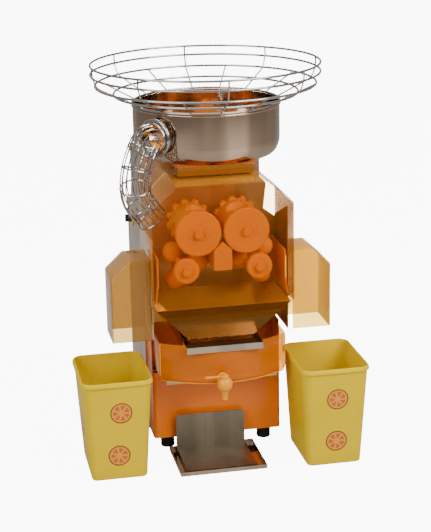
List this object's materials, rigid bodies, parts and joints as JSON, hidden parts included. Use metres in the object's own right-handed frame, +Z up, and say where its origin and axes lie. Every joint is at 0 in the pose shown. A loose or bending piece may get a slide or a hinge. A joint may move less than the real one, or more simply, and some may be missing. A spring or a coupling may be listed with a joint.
{
  "type": "orange juicer",
  "caption": "Automatic counter orange juicer with wire fruit basket, feed drum, wire chute, press drums behind an amber cover, juice tank with tap, drip tray and peel bins.",
  "frame": {"origin": "centre of the assembly's footprint at the level of the counter", "axes": "+Z up; the cover, tap and drip tray face -Y; +X to the right as seen from the front"},
  "size_m": [0.757, 0.604, 1.045],
  "materials": {
    "steel_sheet": "satin stainless sheet",
    "polished_steel": "polished stainless steel",
    "chrome_wire": "bright chrome",
    "brushed_plate": "brushed stainless steel",
    "cast_metal": "cast aluminium",
    "press_orange": "satin moulded food plastic",
    "orange_panel": "orange enamel",
    "amber_cover": "clear amber plastic",
    "amber_chute": "clear amber plastic",
    "amber_tank": "clear orange plastic",
    "tap_orange": "glossy moulded plastic",
    "bin_yellow": "semi-gloss moulded plastic",
    "switch_yellow": "glossy plastic",
    "black_plastic": "black moulded plastic",
    "rubber_black": "black rubber",
    "gear_nylon": "moulded nylon"
  },
  "bodies": {
    "machine": {"foot_front_left": "rubber_black", "foot_front_right": "rubber_black", "foot_rear_left": "rubber_black", "foot_rear_right": "rubber_black", "base_plate": "steel_sheet", "rear_housing": "steel_sheet", "service_panel": "steel_sheet", "power_inlet": "black_plastic", "front_panel": "orange_panel", "tank_shelf": "steel_sheet", "switch_plate": "switch_yellow", "chamber_back_plate": "polished_steel", "side_wall_left": "polished_steel", "side_wall_right": "polished_steel", "bearing_upper_left": "steel_sheet", "bearing_upper_right": "steel_sheet", "bearing_lower_left": "steel_sheet", "bearing_lower_right": "steel_sheet", "knife_holder": "press_orange", "knife_blade": "polished_steel", "peel_guide_left": "press_orange", "peel_guide_right": "press_orange", "juice_funnel": "polished_steel", "gear_casing": "cast_metal", "main_gearmotor": "cast_metal", "feeder_gearmotor": "cast_metal", "drum_bracket": "steel_sheet", "feed_drum": "polished_steel", "outlet_collar": "chrome_wire"},
    "upper_right": {"cup_drum_right": "press_orange", "shaft_upper_right": "polished_steel", "gear_upper_right": "gear_nylon", "hand_nut_upper_right": "press_orange"},
    "upper_left": {"cup_drum_left": "press_orange", "shaft_upper_left": "polished_steel", "gear_upper_left": "gear_nylon", "hand_nut_upper_left": "press_orange"},
    "lower_right": {"ball_rotor_right": "press_orange", "shaft_lower_right": "polished_steel", "gear_lower_right": "gear_nylon", "hand_nut_lower_right": "press_orange"},
    "lower_left": {"ball_rotor_left": "press_orange", "shaft_lower_left": "polished_steel", "gear_lower_left": "gear_nylon", "hand_nut_lower_left": "press_orange"},
    "feeder": {"feeder_disc": "press_orange"},
    "basket": {"fruit_basket": "chrome_wire"},
    "chute": {"wire_chute": "chrome_wire"},
    "cover": {"front_cover": "amber_cover"},
    "left_peel_chute": {"peel_chute_left": "amber_chute"},
    "right_peel_chute": {"peel_chute_right": "amber_chute"},
    "tank": {"juice_tank": "amber_tank", "tap_body": "tap_orange"},
    "strainer": {"strainer_tray": "polished_steel"},
    "lever": {"tap_lever": "tap_orange"},
    "tray": {"drip_tray": "polished_steel", "splash_plate": "brushed_plate"},
    "switch": {"switch_knob": "black_plastic"},
    "left_bin": {"bin_left": "bin_yellow"},
    "right_bin": {"bin_right": "bin_yellow"}
  },
  "joints": [
    {"name": "upper_right_turn", "type": "hinge", "parent": "machine", "child": "upper_right", "pos_m": [0.0725, 0, 0.635], "axis": [0, 1, 0], "continuous": true},
    {"name": "upper_left_turn", "type": "hinge", "parent": "machine", "child": "upper_left", "pos_m": [-0.0535, 0, 0.635], "axis": [0, 1, 0], "continuous": true},
    {"name": "lower_right_turn", "type": "hinge", "parent": "machine", "child": "lower_right", "pos_m": [0.1055, 0, 0.537], "axis": [0, 1, 0], "continuous": true},
    {"name": "lower_left_turn", "type": "hinge", "parent": "machine", "child": "lower_left", "pos_m": [-0.0865, 0, 0.537], "axis": [0, 1, 0], "continuous": true},
    {"name": "feeder_turn", "type": "hinge", "parent": "machine", "child": "feeder", "pos_m": [0.0095, 0, 0.82], "axis": [0, 0, 1], "continuous": true},
    {"name": "switch_turn", "type": "hinge", "parent": "machine", "child": "switch", "pos_m": [-0.18, 0.16, 0.597], "axis": [-1, 0, 0], "range_deg": [0, 90]},
    {"name": "basket_lift", "type": "slide", "parent": "machine", "child": "basket", "axis": [0, 0, 1], "range_m": [0, 0.1]},
    {"name": "chute_slide", "type": "slide", "parent": "machine", "child": "chute", "axis": [-1, 0, 0], "range_m": [0, 0.06]},
    {"name": "cover_slide", "type": "slide", "parent": "machine", "child": "cover", "axis": [0, -1, 0], "range_m": [0, 0.25]},
    {"name": "left_peel_chute_lift", "type": "slide", "parent": "machine", "child": "left_peel_chute", "axis": [0, 0, 1], "range_m": [0, 0.03]},
    {"name": "right_peel_chute_lift", "type": "slide", "parent": "machine", "child": "right_peel_chute", "axis": [0, 0, 1], "range_m": [0, 0.03]},
    {"name": "tank_slide", "type": "slide", "parent": "machine", "child": "tank", "axis": [0, -1, 0], "range_m": [0, 0.2]},
    {"name": "strainer_lift", "type": "slide", "parent": "tank", "child": "strainer", "axis": [0, 0, 1], "range_m": [0, 0.005]},
    {"name": "lever_turn", "type": "hinge", "parent": "tank", "child": "lever", "pos_m": [-0.0045, -0.252, 0.266], "axis": [0, 0, 1], "range_deg": [0, 90]},
    {"name": "tray_slide", "type": "slide", "parent": "machine", "child": "tray", "axis": [0, -1, 0], "range_m": [0, 0.15]},
    {"name": "left_bin_slide", "type": "slide", "parent": "machine", "child": "left_bin", "axis": [0, -1, 0], "range_m": [0, 0.3]},
    {"name": "right_bin_slide", "type": "slide", "parent": "machine", "child": "right_bin", "axis": [0, -1, 0], "range_m": [0, 0.3]}
  ],
  "couplings": [
    {"joint": "upper_left_turn", "follows": "upper_right_turn", "ratio": -1},
    {"joint": "lower_right_turn", "follows": "upper_right_turn", "ratio": -1},
    {"joint": "lower_left_turn", "follows": "upper_right_turn", "ratio": 1}
  ]
}
